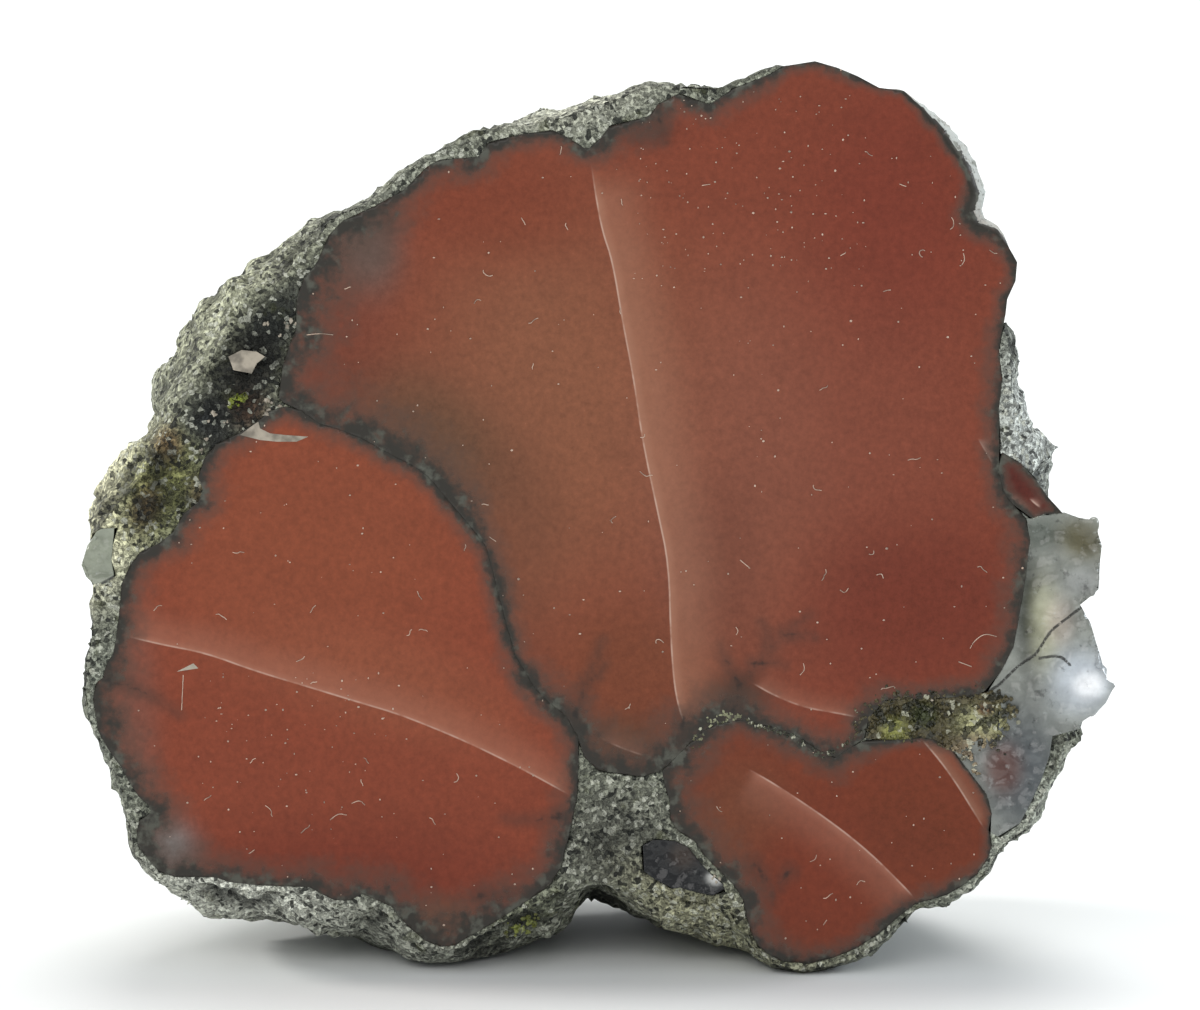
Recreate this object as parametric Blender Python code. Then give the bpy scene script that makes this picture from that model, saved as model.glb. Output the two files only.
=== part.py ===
"""Half of a datolite nodule cluster in its basalt, sawn and polished, standing on its rough foot.

Metres, +Z up. X runs across the sawn face, Y runs away from the viewer, and the origin is at the
middle of the bounding box, on the surface that the stone stands on. Outlines are written in
millimetres on the sawn face: across to the right, and up from the foot.
"""
import math

import bmesh
import bpy
from mathutils import Vector, geometry, noise

MM = 0.001

# The stone in its frame
LEAN = math.radians(10)         # the sawn face leans back
FACE_X = 0.19                   # where the middle of the face's foot lies, from the origin
FACE_Y = -16.36
FACE_Z = 0.25
FACE_MIDDLE = Vector((0.0, 27.1))

# Fit of the pieces in the rock
INSET = 0.17                    # each piece is this much smaller than its outline
SOCKET = 0.13                   # and its socket is this much larger
MERGE = 0.0000005               # metres: corners of a cut closer than this are one corner

# The rock behind the face
SEGMENTS = 120                  # corners of the rings at the front
BACK_RINGS = (                  # degrees from the rim towards the back's tip, corners
    (8, 120), (16, 100), (25, 84), (34, 70), (43, 58), (52, 46), (61, 36), (70, 26), (79, 14),
)
SETTLED = 16                    # from here on, the rings follow the evened-out outline
BACK_POWER = 0.714              # below 1 squares the back off, as broken rock is
BACK_DEPTH = 17.0
RIM = 0.3                       # least overhang of the rim over the face's edge
RIM_DEPTH = 0.8
FLARE_DEPTH = 1.2               # how far back the sides go for each millimetre that they flare
SMOOTHING = [math.radians(3 * step) for step in range(-5, 6)]  # directions that even the outline

# Humps of the back, one over each nodule and one along the heel: across, up, reach, height
HUMPS = ((6.0, 32.0, 15.0, 10.5), (-17.0, 17.0, 9.5, 7.5), (14.0, 8.0, 9.0, 6.0))
HEEL_HEIGHT = 7.0
HEEL_REACH = 6.0

# Knobs and pits of the rock: across, up, behind the face, reach, height
KNOBS = (
    (-21, 38, 17, 4.5, 2.0), (-8, 44, 19, 5.0, 1.8), (12, 46, 18, 5.5, 1.6), (22, 33, 15, 4.5, 1.8),
    (-2, 29, 27, 6.0, 2.2), (15, 24, 25, 5.0, 1.6), (-24, 22, 14, 4.5, 1.5), (-12, 11, 22, 4.0, 1.4),
    (4, 38, 27, 3.5, -2.2), (-13, 27, 24, 3.5, -2.0), (18, 14, 20, 3.5, -1.8), (-26, 31, 12, 3.0, -1.4),
    (-16, 40, 14, 2.8, -1.5), (24, 22, 16, 3.0, -1.5), (1, 14, 25, 3.2, -1.6), (-20, 9, 13, 2.8, -1.2),
    (-10, 3, 16, 6.0, 2.6), (5, 3, 19, 6.5, 2.4),
)
LUMP_SIZE = 7.5
LUMP_HEIGHT = 1.1
LEDGE_SIZE = 6.0
LEDGE_HEIGHT = 1.3
LEDGE_WIDTH = 0.3

# Where the sawn face ends, clockwise from the left
FACE_EDGE = (
    (-30.3, 26.5), (-29.5, 27.6), (-28.5, 28.6), (-27.3, 29.6), (-26.7, 31.0), (-26.1, 32.4),
    (-25.2, 32.8), (-25.1, 33.8), (-24.3, 35.4), (-23.5, 36.3), (-22.2, 38.0), (-21.6, 39.1),
    (-20.9, 40.1), (-21.4, 41.3), (-20.3, 41.3), (-18.8, 41.2), (-18.5, 41.8), (-18.5, 42.8),
    (-17.7, 43.4), (-16.6, 44.2), (-16.3, 45.4), (-15.3, 45.6), (-14.0, 46.1), (-12.5, 47.1),
    (-11.9, 48.0), (-9.8, 49.2), (-8.2, 50.0), (-7.0, 50.7), (-4.8, 50.6), (-2.4, 51.1),
    (-1.2, 51.7), (1.0, 52.4), (3.1, 53.3), (5.0, 53.2), (6.7, 52.9), (9.0, 53.7),
    (11.6, 54.9), (12.5, 53.1), (16.2, 51.8), (19.2, 49.0), (21.3, 45.2), (22.8, 40.9),
    (23.4, 39.4), (24.6, 38.4), (24.7, 35.5), (24.6, 33.7), (24.8, 31.6), (25.3, 30.6),
    (25.5, 29.2), (26.4, 27.7), (27.5, 26.6), (28.7, 25.7), (28.9, 23.8), (28.1, 22.3),
    (28.3, 20.8), (28.9, 19.0), (29.6, 17.2), (28.9, 16.0), (27.7, 14.6), (27.6, 13.9),
    (27.4, 13.0), (26.9, 11.3), (26.2, 9.8), (25.7, 8.5), (24.3, 7.5), (23.9, 6.9),
    (23.0, 5.5), (21.9, 4.7), (19.8, 4.0), (18.8, 3.6), (17.8, 2.8), (16.9, 1.7),
    (15.3, 0.8), (14.1, 0.4), (12.6, 0.0), (11.1, 0.1), (10.0, 0.5), (9.1, 1.0),
    (8.7, 2.0), (8.3, 3.4), (7.9, 4.0), (7.2, 3.9), (5.4, 4.1), (3.9, 4.5),
    (2.4, 5.3), (1.1, 5.5), (-0.3, 5.4), (-1.5, 5.0), (-2.7, 4.6), (-3.6, 4.3),
    (-5.1, 3.4), (-7.2, 2.1), (-8.6, 1.2), (-9.6, 1.1), (-10.5, 1.4), (-11.5, 2.1),
    (-12.7, 3.4), (-13.5, 3.9), (-14.3, 4.2), (-15.2, 3.8), (-16.0, 3.8), (-17.4, 4.7),
    (-20.4, 4.8), (-22.2, 5.0), (-23.1, 5.3), (-25.5, 5.3), (-26.6, 5.6), (-27.4, 6.3),
    (-28.1, 7.2), (-28.3, 8.3), (-28.4, 9.6), (-28.6, 10.4), (-29.3, 12.2), (-30.1, 13.9),
    (-30.7, 15.3), (-31.0, 16.9), (-30.9, 18.7), (-30.6, 20.2), (-30.4, 21.6), (-30.2, 22.9),
    (-30.2, 24.7),
)

# The rock's outline seen square to the face, clockwise from the left
SILHOUETTE = (
    (-30.6, 22.8), (-30.4, 24.4), (-30.7, 25.8), (-31.2, 27.4), (-31.0, 28.6), (-30.2, 29.8),
    (-28.5, 31.3), (-26.9, 33.0), (-26.4, 34.0), (-26.2, 35.6), (-25.5, 37.8), (-24.8, 39.8),
    (-24.0, 40.7), (-22.7, 41.8), (-21.3, 42.8), (-19.7, 43.6), (-18.0, 44.6), (-17.4, 45.2),
    (-15.6, 45.6), (-14.1, 46.3), (-12.6, 47.2), (-12.0, 48.2), (-9.9, 49.4), (-8.3, 50.3),
    (-7.1, 50.9), (-6.0, 51.1), (-4.8, 50.8), (-3.0, 51.2), (-2.2, 51.2), (-1.3, 52.1),
    (0.9, 52.8), (2.1, 53.4), (3.2, 53.7), (5.1, 53.4), (6.7, 53.1), (7.7, 53.5),
    (9.0, 54.0), (10.7, 54.6), (11.7, 55.1), (12.5, 53.4), (14.1, 52.9), (16.2, 52.1),
    (18.0, 50.8), (19.5, 49.0), (20.7, 47.2), (21.6, 45.4), (22.3, 43.6), (23.1, 41.2),
    (23.5, 39.7), (25.1, 39.0), (25.2, 37.6), (25.5, 36.6), (25.4, 35.8), (24.9, 35.0),
    (25.5, 33.6), (26.4, 32.4), (27.5, 32.0), (27.9, 31.5), (27.5, 30.4), (26.4, 30.0),
    (25.8, 29.2), (26.6, 28.0), (27.7, 26.8), (28.9, 25.9), (29.1, 23.8), (28.3, 22.3),
    (28.5, 20.8), (29.1, 19.0), (29.8, 17.2), (29.1, 15.8), (28.8, 14.6), (28.7, 13.8),
    (28.1, 13.0), (27.5, 12.5), (27.1, 10.6), (26.4, 8.9), (24.9, 7.7), (24.2, 6.9),
    (23.1, 5.4), (21.9, 4.6), (19.8, 3.9), (18.2, 3.0), (16.9, 1.7), (15.3, 0.7),
    (14.1, 0.3), (12.6, -0.2), (11.1, 0.0), (10.0, 0.2), (8.9, 0.6), (8.0, 1.5),
    (6.9, 1.3), (6.0, 1.4), (4.8, 2.2), (3.6, 2.8), (2.4, 3.3), (1.3, 4.2),
    (0.6, 5.0), (-0.3, 5.2), (-1.4, 4.6), (-2.1, 3.4), (-2.8, 2.1), (-4.5, 1.6),
    (-5.4, 0.9), (-6.6, 0.6), (-8.1, 0.6), (-9.6, 0.2), (-11.3, 0.6), (-12.6, 1.1),
    (-13.5, 1.9), (-14.7, 2.3), (-16.2, 2.2), (-17.4, 2.8), (-18.9, 2.9), (-20.1, 3.1),
    (-21.6, 3.1), (-23.4, 2.8), (-24.2, 3.6), (-25.5, 4.9), (-26.8, 5.4), (-27.7, 6.4),
    (-28.3, 7.6), (-28.9, 10.3), (-29.6, 12.3), (-30.3, 14.0), (-31.0, 15.4), (-31.3, 16.9),
    (-31.2, 18.7), (-30.9, 20.2), (-30.7, 21.6),
)

# Seams that two pieces share
SEAM_UPPER_LOWER_LEFT = (
    (-18.0, 33.7), (-16.9, 32.9), (-15.3, 32.4), (-14.1, 31.9), (-12.9, 31.2), (-11.3, 30.4),
    (-10.3, 29.7), (-9.3, 28.5), (-8.2, 27.2), (-7.2, 26.0), (-6.8, 25.4), (-6.4, 23.8),
    (-5.7, 21.1), (-5.1, 19.0), (-3.9, 17.0), (-3.0, 16.1), (-2.0, 15.3), (-1.3, 14.0),
)
SEAM_UPPER_LOWER_RIGHT = (
    (3.8, 12.2), (4.8, 13.1), (6.0, 14.3), (7.1, 14.9), (8.7, 15.1), (10.5, 14.6),
    (12.0, 14.0), (13.1, 13.3), (14.1, 12.8), (15.0, 13.4),
)
SEAM_UPPER_EPIDOTE = ((23.2, 16.9), (22.5, 16.5), (19.8, 16.4), (17.1, 16.3), (16.1, 15.2), (15.8, 14.1))
SEAM_UPPER_QUARTZ = ((25.4, 27.2), (25.8, 25.9), (25.5, 23.5), (25.1, 21.1), (24.8, 19.5), (24.1, 18.1))
SEAM_UPPER_SLIVER = ((24.0, 31.2), (23.9, 30.1), (24.2, 28.9), (24.7, 28.1))
SEAM_LOWER_RIGHT_EPIDOTE = ((16.8, 13.9), (18.0, 13.9), (19.3, 14.0), (20.1, 13.9), (21.0, 13.3))
SEAM_LOWER_RIGHT_QUARTZ = ((21.9, 12.3), (22.6, 11.4), (23.2, 10.6), (23.5, 9.5), (23.3, 8.5))

# The upper nodule, clockwise from the seam's left end
UPPER_EDGE = (
    (-18.9, 34.2), (-19.3, 34.6), (-18.9, 36.4), (-18.5, 37.6), (-18.1, 38.5), (-18.1, 40.3),
    (-17.7, 41.5), (-16.9, 42.4), (-16.2, 44.1), (-15.3, 45.0), (-13.5, 45.8), (-11.7, 46.8),
    (-10.3, 48.2), (-9.6, 48.6), (-8.1, 48.7), (-7.2, 48.8), (-6.6, 49.7), (-4.8, 50.1),
    (-2.9, 50.4), (-1.9, 49.9), (-1.0, 49.3), (-0.6, 49.3), (0.1, 49.9), (0.7, 50.7),
    (3.0, 51.2), (3.6, 52.0), (4.8, 52.6), (6.6, 51.9), (8.1, 52.9), (10.2, 53.7),
    (11.4, 54.4), (12.9, 54.8), (14.3, 54.4), (15.5, 53.9), (16.8, 53.2), (18.3, 53.0),
    (19.5, 51.8), (20.7, 50.3), (21.6, 49.0), (22.1, 48.1), (22.6, 46.6), (22.3, 45.6),
    (22.6, 44.9), (24.0, 44.4), (24.7, 43.5), (25.2, 42.6), (25.1, 41.4), (24.6, 40.3),
    (24.5, 39.4), (24.0, 38.4), (23.8, 37.3), (24.0, 35.5), (23.8, 33.7),
) + SEAM_UPPER_SLIVER + SEAM_UPPER_QUARTZ + SEAM_UPPER_EPIDOTE + tuple(
    reversed(SEAM_UPPER_LOWER_RIGHT)
) + ((2.4, 11.8), (0.0, 12.1), (-0.9, 13.0)) + tuple(reversed(SEAM_UPPER_LOWER_LEFT))

LOWER_LEFT_EDGE = SEAM_UPPER_LOWER_LEFT + (
    (-1.4, 12.4), (-1.5, 10.6), (-1.9, 8.5), (-2.4, 6.4), (-3.1, 5.2), (-5.1, 3.9),
    (-6.0, 3.3), (-7.2, 2.6), (-8.1, 2.1), (-8.7, 1.7), (-9.6, 1.6), (-10.5, 2.0),
    (-11.3, 2.7), (-12.0, 3.4), (-12.4, 4.0), (-13.3, 4.4), (-14.3, 4.8), (-15.0, 4.4),
    (-15.9, 4.4), (-16.7, 4.8), (-17.4, 5.2), (-20.4, 5.3), (-22.2, 5.5), (-23.1, 5.8),
    (-25.5, 5.8), (-26.4, 6.1), (-27.0, 6.8), (-27.6, 7.5), (-27.7, 8.4), (-27.5, 9.1),
    (-26.8, 9.5), (-27.0, 10.1), (-27.6, 10.6), (-28.1, 11.4), (-28.6, 12.3), (-29.4, 13.4),
    (-30.0, 14.5), (-30.3, 16.3), (-30.2, 17.2), (-29.7, 17.6), (-29.5, 18.4), (-29.1, 19.0),
    (-28.9, 20.0), (-28.7, 21.6), (-28.6, 23.2), (-28.1, 24.3), (-27.5, 25.1), (-26.4, 25.6),
    (-25.5, 26.3), (-24.9, 27.4), (-24.0, 28.1), (-23.7, 28.9), (-24.0, 29.8), (-23.6, 30.8),
    (-22.9, 31.6), (-21.6, 32.2), (-20.6, 32.8), (-19.9, 33.5), (-18.9, 33.8),
)

LOWER_RIGHT_EDGE = SEAM_UPPER_LOWER_RIGHT + ((15.8, 13.7),) + SEAM_LOWER_RIGHT_EPIDOTE + SEAM_LOWER_RIGHT_QUARTZ + (
    (23.4, 7.6), (23.1, 6.7), (22.5, 5.9), (21.6, 5.2), (20.7, 4.7), (18.9, 4.2),
    (17.7, 3.3), (16.7, 2.4), (15.3, 1.5), (14.1, 1.0), (12.6, 0.6), (11.1, 0.7),
    (10.2, 1.1), (9.6, 1.6), (9.2, 2.3), (8.9, 3.4), (8.7, 4.4), (8.1, 5.3),
    (7.2, 6.2), (6.3, 7.1), (5.8, 7.9), (4.8, 8.5), (4.3, 9.2), (4.3, 10.3),
    (4.0, 11.2),
)

SLIVER_EDGE = ((25.2, 30.5), (26.3, 29.6), (27.0, 28.6), (27.9, 27.7), (26.7, 27.5), (25.8, 27.2)) + tuple(
    reversed(SEAM_UPPER_SLIVER)
)

EPIDOTE_EDGE = tuple(reversed(SEAM_UPPER_EPIDOTE)) + ((24.0, 16.1), (23.9, 14.2), (22.4, 13.8)) + tuple(
    reversed(SEAM_LOWER_RIGHT_EPIDOTE)
)

QUARTZ_RIGHT_EDGE = (
    (26.0, 27.1), (26.7, 27.3), (28.0, 27.5), (28.8, 27.4), (29.8, 27.2), (30.3, 25.6),
    (30.2, 24.7), (30.1, 22.9), (29.7, 22.5), (29.0, 22.0), (29.6, 21.0), (29.9, 20.0),
    (30.3, 18.7), (30.6, 17.6), (31.1, 17.2), (30.9, 16.8), (30.5, 16.0), (30.0, 15.5),
    (29.1, 14.9), (28.9, 14.4), (27.1, 14.2), (26.9, 13.0), (26.4, 11.5), (25.7, 10.0),
    (25.1, 8.9), (24.0, 8.1),
) + tuple(reversed(SEAM_LOWER_RIGHT_QUARTZ)) + ((21.3, 13.3), (22.4, 13.8), (23.9, 14.2), (24.0, 16.1)) + (
    (23.2, 16.9),
) + tuple(reversed(SEAM_UPPER_QUARTZ))

QUARTZ_LEFT_EDGE = (
    (-30.0, 26.5), (-29.0, 26.6), (-29.3, 25.6), (-29.4, 24.7), (-29.1, 23.8), (-29.7, 23.3),
    (-30.5, 23.2), (-31.0, 23.6), (-31.3, 24.4), (-31.0, 25.4), (-30.5, 26.1),
)

QUARTZ_POCKET_EDGE = (
    (2.5, 7.5), (3.3, 7.9), (4.5, 7.8), (5.3, 7.4), (5.9, 6.6), (6.6, 5.8),
    (7.3, 5.3), (7.5, 4.8), (6.7, 4.6), (5.4, 4.9), (4.8, 5.1), (4.3, 5.0),
    (3.3, 5.6), (2.6, 6.1),
)

# Nodules that reach deep into the rock: outline, middle, depth
NODULES = {
    "datolite_upper": (UPPER_EDGE, Vector((4.8, 33.1)), 19.0),
    "datolite_lower_left": (LOWER_LEFT_EDGE, Vector((-16.2, 17.5)), 13.5),
    "datolite_lower_right": (LOWER_RIGHT_EDGE, Vector((14.4, 7.3)), 10.0),
}
NODULE_ANGLES = (0, 11, 27, 44, 60, 76)
NODULE_POWER = 0.75
NODULE_EVENED = 20              # degrees from which a nodule's outline has lost its small corners
EVENING_ROUNDS = 6

# Pieces that fill a shallow place: outline, depth, how far the walls draw in at the back
FILLINGS = {
    "datolite_sliver": (SLIVER_EDGE, 5.0, 0.7),
    "epidote_seam": (EPIDOTE_EDGE, 4.0, 0.4),
    "quartz_right": (QUARTZ_RIGHT_EDGE, 6.5, 0.45),
    "quartz_left": (QUARTZ_LEFT_EDGE, 2.6, 0.3),
    "quartz_pocket": (QUARTZ_POCKET_EDGE, 2.4, 0.4),
}

# Bare skin of the upper nodule: it swells out behind the sawn edge, between these directions
SKIN_FROM = math.radians(5)
SKIN_TO = math.radians(75)
SKIN_SWELL = 0.75

# Colour, roughness
FINISHES = {
    "matrix": ((0.37, 0.38, 0.31), 0.95),
    "datolite_upper": ((0.21, 0.085, 0.055), 0.3),
    "datolite_lower_left": ((0.25, 0.10, 0.055), 0.3),
    "datolite_lower_right": ((0.17, 0.06, 0.04), 0.3),
    "datolite_sliver": ((0.12, 0.045, 0.03), 0.3),
    "epidote_seam": ((0.10, 0.10, 0.035), 0.4),
    "quartz_right": ((0.42, 0.41, 0.33), 0.25),
    "quartz_left": ((0.33, 0.34, 0.28), 0.25),
    "quartz_pocket": ((0.08, 0.075, 0.06), 0.25),
}


def place(point, behind):
    """World position of a point of the sawn face, some millimetres behind that face."""
    across, up = point
    return Vector((
        FACE_X + across,
        FACE_Y + up * math.sin(LEAN) + behind * math.cos(LEAN),
        FACE_Z + up * math.cos(LEAN) - behind * math.sin(LEAN),
    )) * MM


def face_coordinates(position):
    """Across, up and behind, in millimetres, of a world position."""
    x, y, z = position / MM - Vector((FACE_X, FACE_Y, FACE_Z))
    return Vector((
        x,
        y * math.sin(LEAN) + z * math.cos(LEAN),
        y * math.cos(LEAN) - z * math.sin(LEAN),
    ))


def grown(outline, distance):
    """A clockwise outline with each point moved outwards."""
    points = [Vector(point) for point in outline]
    moved = []
    for index, point in enumerate(points):
        along = (points[(index + 1) % len(points)] - points[index - 1]).normalized()
        moved.append(point + Vector((-along.y, along.x)) * distance)
    return moved


def stitch(shape, near, far):
    """Triangles between two rings that may have unlike numbers of corners; far may be one tip."""
    first = second = 0
    last = len(far) if len(far) > 1 else 0
    while first < len(near) or second < last:
        here, there = near[first % len(near)], far[second % len(far)]
        near_is_behind = (first + 1) * last <= (second + 1) * len(near)
        if second == last or (first < len(near) and near_is_behind):
            first += 1
            shape.faces.new((here, near[first % len(near)], there))
        else:
            second += 1
            shape.faces.new((here, far[second % len(far)], there))


def loft(name, rings, tip=None):
    """A closed mesh through rings of corners, with a flat front and a flat or pointed back."""
    shape = bmesh.new()
    loops = [[shape.verts.new(point) for point in ring] for ring in rings]
    for near, far in zip(loops, loops[1:]):
        stitch(shape, near, far)
    shape.faces.new(loops[0])
    if tip is None:
        shape.faces.new(loops[-1])
    else:
        stitch(shape, loops[-1], [shape.verts.new(tip)])
    bmesh.ops.recalc_face_normals(shape, faces=shape.faces)
    bmesh.ops.triangulate(shape, faces=shape.faces)
    mesh = bpy.data.meshes.new(name)
    shape.to_mesh(mesh)
    shape.free()
    return bpy.data.objects.new(name, mesh)


def skin_swell(direction):
    """How far the bare skin swells out in a direction from the nodule's middle."""
    angle = math.atan2(direction.y, direction.x)
    if not SKIN_FROM < angle < SKIN_TO:
        return 0.0
    return SKIN_SWELL * math.sin(math.pi * (angle - SKIN_FROM) / (SKIN_TO - SKIN_FROM)) ** 0.5


def evened(points):
    """An outline without its small corners."""
    for _ in range(EVENING_ROUNDS):
        points = [
            (points[index - 1] + point + points[(index + 1) % len(points)]) / 3
            for index, point in enumerate(points)
        ]
    return points


def nodule(name, growth=0.0, proud=0.0):
    """A domed nodule cut flat at the face; a cutter is grown and stands proud of the face."""
    outline, middle, depth = NODULES[name]
    points = grown(outline, growth)
    rounded = evened(points)
    swells = name == "datolite_upper"
    rings = [[place(point, -proud) for point in points]] if proud else []
    for degrees in NODULE_ANGLES:
        angle = math.radians(degrees)
        scale = math.cos(angle) ** NODULE_POWER
        behind = (depth + growth) * math.sin(angle)
        ring = []
        for point, round_point in zip(points, rounded):
            from_middle = point.lerp(round_point, min(1.0, degrees / NODULE_EVENED)) - middle
            swell = skin_swell(from_middle) * math.sin(2 * angle) if swells else 0.0
            ring.append(place(middle + from_middle * scale + from_middle.normalized() * swell, behind))
        rings.append(ring)
    return loft(name, rings, place(middle, depth + growth))


def filling(name, growth=0.0, proud=0.0):
    """A flat piece with straight walls that draw in at the back."""
    outline, depth, taper = FILLINGS[name]
    levels = ((-proud, 0.0), (depth * 0.5, taper * 0.3), (depth + growth, taper))
    return loft(name, [
        [place(point, behind) for point in grown(outline, growth - inward)]
        for behind, inward in levels
    ])


def reach(outline, angle):
    """Distance from the middle of the face to an outline in a direction, or 0 if it misses."""
    far = FACE_MIDDLE + Vector((math.cos(angle), math.sin(angle))) * 100
    hits = [
        geometry.intersect_line_line_2d(FACE_MIDDLE, far, Vector(start), Vector(end))
        for start, end in zip(outline, outline[1:] + outline[:1])
    ]
    return max([(hit - FACE_MIDDLE).length for hit in hits if hit], default=0.0)


def stone_reach(angle):
    """Distance from the middle to the stone's edge, evened out over the neighbouring directions."""
    outlines = (SILHOUETTE, QUARTZ_RIGHT_EDGE, QUARTZ_LEFT_EDGE, SLIVER_EDGE)
    return sum(
        max(reach(outline, angle + shift) for outline in outlines) for shift in SMOOTHING
    ) / len(SMOOTHING)


def back_depth(point):
    """How far the rock reaches behind the face: a hump over each nodule, and the heel."""
    depth = BACK_DEPTH + HEEL_HEIGHT * math.exp(-(max(point.y - 2.0, 0.0) / HEEL_REACH) ** 2)
    for across, up, size, height in HUMPS:
        depth += height * math.exp(-((point.x - across) ** 2 + (point.y - up) ** 2) / size ** 2)
    return depth


def roughness(position):
    """Height of the broken rock over its smooth form, in millimetres."""
    where = face_coordinates(position)
    height = LUMP_HEIGHT * noise.noise(where / LUMP_SIZE)
    near, second = noise.voronoi(where / LEDGE_SIZE)[0][:2]
    height += LEDGE_HEIGHT * (min(second - near, LEDGE_WIDTH) / LEDGE_WIDTH - 0.7)
    for across, up, behind, size, knob in KNOBS:
        distance = (where - Vector((across, up, behind))).length
        height += knob * math.exp(-(distance / size) ** 2)
    return height


def rock_ring(corners, stagger, front_share=None, degrees=0):
    """A ring of the rock: between the face's edge and the rim, or over the back."""
    ring = []
    for corner in range(corners):
        angle = -math.tau * (corner + stagger) / corners
        heading = Vector((math.cos(angle), math.sin(angle)))
        edge = reach(FACE_EDGE, angle)
        rim = max(reach(SILHOUETTE, angle), edge + RIM)
        shoulder = RIM_DEPTH + FLARE_DEPTH * (rim - edge)
        if front_share is not None:
            ring.append(place(
                FACE_MIDDLE + heading * (edge + (rim - edge) * front_share ** 0.6), shoulder * front_share
            ))
            continue
        narrow = math.cos(math.radians(degrees)) ** BACK_POWER
        deep = math.sin(math.radians(degrees)) ** BACK_POWER
        settled = min(1.0, degrees / SETTLED)
        point = FACE_MIDDLE + heading * (rim + (stone_reach(angle) - rim) * settled) * narrow
        ring.append(place(point, shoulder + (back_depth(point) - shoulder) * deep))
    return ring


def rock():
    """The rock as one solid: the sawn face, the flaring sides and the humped, broken back."""
    rings = [rock_ring(SEGMENTS, 0, front_share=share) for share in (0.0, 0.45, 1.0)]
    for index, (degrees, corners) in enumerate(BACK_RINGS):
        rings.append(rock_ring(corners, 0.5 * (index % 2), degrees=degrees))
    body = loft("matrix", rings, place(FACE_MIDDLE, back_depth(FACE_MIDDLE)))
    body.data.update()
    for vertex in body.data.vertices[SEGMENTS * 3:]:
        vertex.co += vertex.normal * roughness(vertex.co) * MM
    return body


def keep_largest(mesh):
    """Remove the crumbs that a cut leaves beside the main body."""
    shape = bmesh.new()
    shape.from_mesh(mesh)
    bmesh.ops.remove_doubles(shape, verts=shape.verts, dist=MERGE)
    bodies = []
    unseen = set(shape.verts)
    while unseen:
        front = [unseen.pop()]
        body = set(front)
        while front:
            vertex = front.pop()
            for edge in vertex.link_edges:
                other = edge.other_vert(vertex)
                if other in unseen:
                    unseen.discard(other)
                    body.add(other)
                    front.append(other)
        bodies.append(body)
    bodies.sort(key=len, reverse=True)
    for crumbs in bodies[1:]:
        bmesh.ops.delete(shape, geom=list(crumbs), context="VERTS")
    bmesh.ops.triangulate(shape, faces=shape.faces)
    shape.to_mesh(mesh)
    shape.free()


def cut(body, shapes):
    """Subtract every shape of a collection from a body, and keep the one solid that is left."""
    step = body.modifiers.new("Sockets and foot", "BOOLEAN")
    step.operation = "DIFFERENCE"
    step.solver = "EXACT"
    step.operand_type = "COLLECTION"
    step.collection = shapes
    evaluated = body.evaluated_get(bpy.context.evaluated_depsgraph_get())
    mesh = bpy.data.meshes.new_from_object(evaluated)
    body.modifiers.clear()
    body.data = mesh
    keep_largest(mesh)


def floor_cutter():
    """The block below the surface that the stone stands on."""
    shape = bmesh.new()
    bmesh.ops.create_cube(shape, size=0.12)
    bmesh.ops.translate(shape, verts=shape.verts, vec=(0, 0, -0.06))
    mesh = bpy.data.meshes.new("floor_cutter")
    shape.to_mesh(mesh)
    shape.free()
    return bpy.data.objects.new("floor_cutter", mesh)


def finish(piece):
    """Give a piece its own material."""
    colour, rough = FINISHES[piece.name]
    material = bpy.data.materials.new(piece.name)
    material.use_nodes = True
    shader = material.node_tree.nodes["Principled BSDF"]
    shader.inputs["Base Color"].default_value = (*colour, 1)
    shader.inputs["Roughness"].default_value = rough
    shader.inputs["Metallic"].default_value = 0.0
    piece.data.materials.clear()
    piece.data.materials.append(material)


for leftover in list(bpy.data.objects):
    bpy.data.objects.remove(leftover)

stone = bpy.data.collections.new("datolite on matrix")
shapes = bpy.data.collections.new("cutters")
for collection in (stone, shapes):
    bpy.context.scene.collection.children.link(collection)

matrix = rock()
stone.objects.link(matrix)
pieces = [nodule(name, -INSET) for name in NODULES] + [filling(name, -INSET) for name in FILLINGS]
for piece in pieces:
    stone.objects.link(piece)

ground = floor_cutter()
cutters = [nodule(name, SOCKET, 2.0) for name in NODULES] + [filling(name, SOCKET, 2.0) for name in FILLINGS]
for cutter in cutters + [ground]:
    cutter.name = "socket " + cutter.name
    cutter.hide_render = True
    cutter.display_type = "WIRE"
    shapes.objects.link(cutter)

cut(matrix, shapes)
for piece in [matrix] + pieces:
    finish(piece)
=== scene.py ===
"""Half of a datolite nodule cluster in basalt, sawn and polished, standing on a white sheet."""
import math
import random

import bmesh
import bpy
import numpy as np
from mathutils import Euler, Matrix, Vector, noise
from mathutils.bvhtree import BVHTree


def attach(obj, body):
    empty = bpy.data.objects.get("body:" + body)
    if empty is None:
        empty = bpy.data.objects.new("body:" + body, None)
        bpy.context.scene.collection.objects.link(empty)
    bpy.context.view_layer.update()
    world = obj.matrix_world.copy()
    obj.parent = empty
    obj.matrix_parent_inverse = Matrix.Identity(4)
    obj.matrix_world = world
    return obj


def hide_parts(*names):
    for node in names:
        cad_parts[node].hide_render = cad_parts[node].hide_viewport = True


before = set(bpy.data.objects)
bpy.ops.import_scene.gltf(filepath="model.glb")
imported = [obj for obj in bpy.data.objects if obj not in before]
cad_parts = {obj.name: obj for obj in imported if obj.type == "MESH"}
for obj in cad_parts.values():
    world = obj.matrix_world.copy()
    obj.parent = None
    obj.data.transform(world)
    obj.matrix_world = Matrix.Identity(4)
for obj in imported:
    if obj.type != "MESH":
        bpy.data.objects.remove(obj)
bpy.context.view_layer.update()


# The rock
# Grey-green granular basalt round the sides, back and foot of the nodules, broken and weathered, and
# sawn flat between them. Places on the face are in millimetres: across, up from its foot, and behind.
MM = 0.001
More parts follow.
